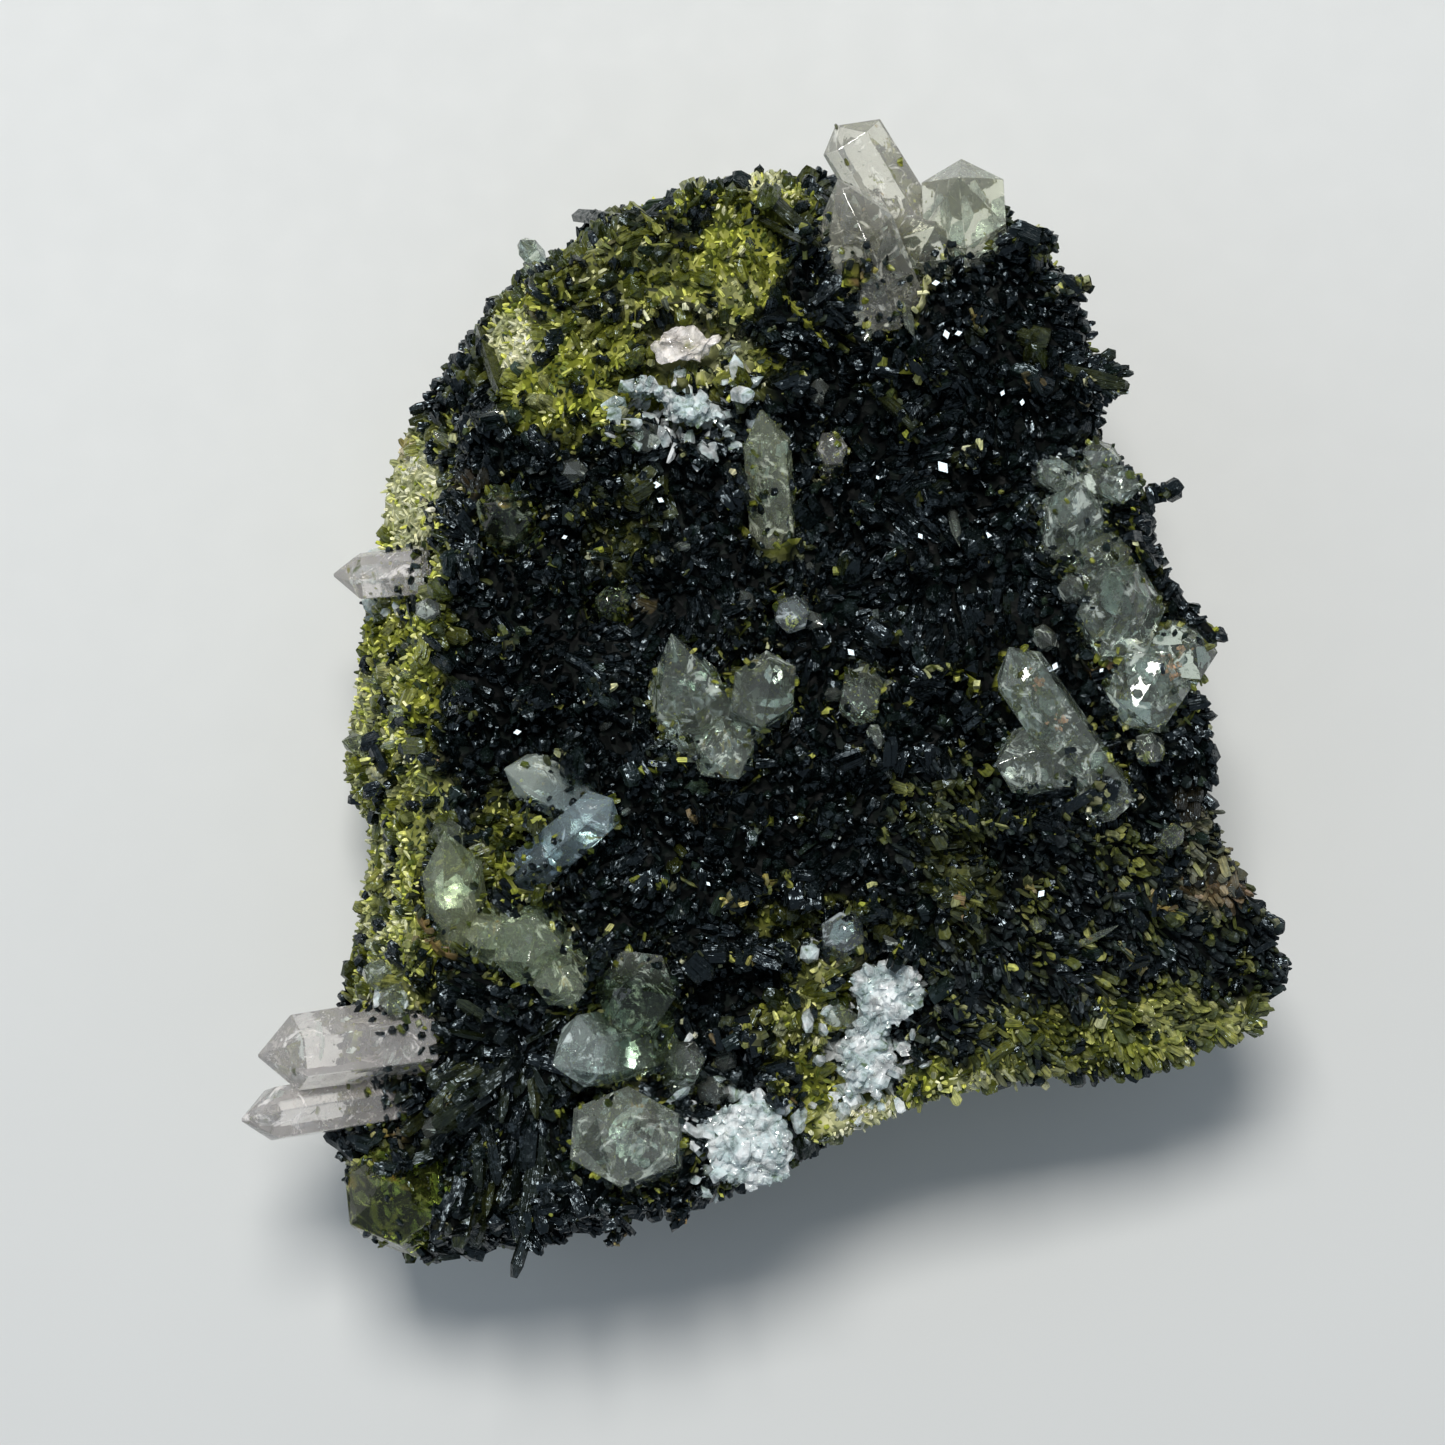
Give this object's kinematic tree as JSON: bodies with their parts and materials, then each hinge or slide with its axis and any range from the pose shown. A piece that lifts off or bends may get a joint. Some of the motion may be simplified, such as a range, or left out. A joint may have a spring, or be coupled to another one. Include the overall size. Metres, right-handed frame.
{
  "type": "epidote crystal cluster",
  "caption": "Loose rock specimen with a face of short dark green epidote prisms, yellow-green granular edges, and clear and milky quartz points rooted among them.",
  "frame": {"origin": "middle of the cluster's box seen from above, at the flat underside that it rests on", "axes": "+Z out of the crystal face, +Y along the specimen's long side towards the clear quartz group at its top, +X to the right"},
  "size_m": [0.0713, 0.0777, 0.0299],
  "materials": {
    "epidote_rock": "satin",
    "quartz_clear": "gloss",
    "quartz_milky": "satin"
  },
  "bodies": {
    "root": {"epidote_matrix": "epidote_rock", "quartz_top_group": "quartz_clear", "quartz_centre_group": "quartz_clear", "quartz_small_point": "quartz_clear", "quartz_slanting_pair": "quartz_clear", "quartz_right_edge_group": "quartz_clear", "quartz_left_pair": "quartz_clear", "quartz_low_left_group": "quartz_clear", "quartz_corner_pair": "quartz_clear", "quartz_green_corner": "quartz_clear", "quartz_bottom_group": "quartz_clear", "quartz_bright_point": "quartz_clear", "quartz_upper_blade": "quartz_clear", "quartz_upper_stub": "quartz_clear", "quartz_smoky_point": "quartz_clear", "quartz_left_edge": "quartz_clear", "quartz_dark_stub": "quartz_clear", "quartz_low_right_point": "quartz_clear", "quartz_fan_point": "quartz_clear", "quartz_bottom_crust": "quartz_milky", "quartz_white_patch": "quartz_milky", "quartz_white_knob": "quartz_milky", "quartz_glassy_patch": "quartz_milky"}
  },
  "joints": []
}
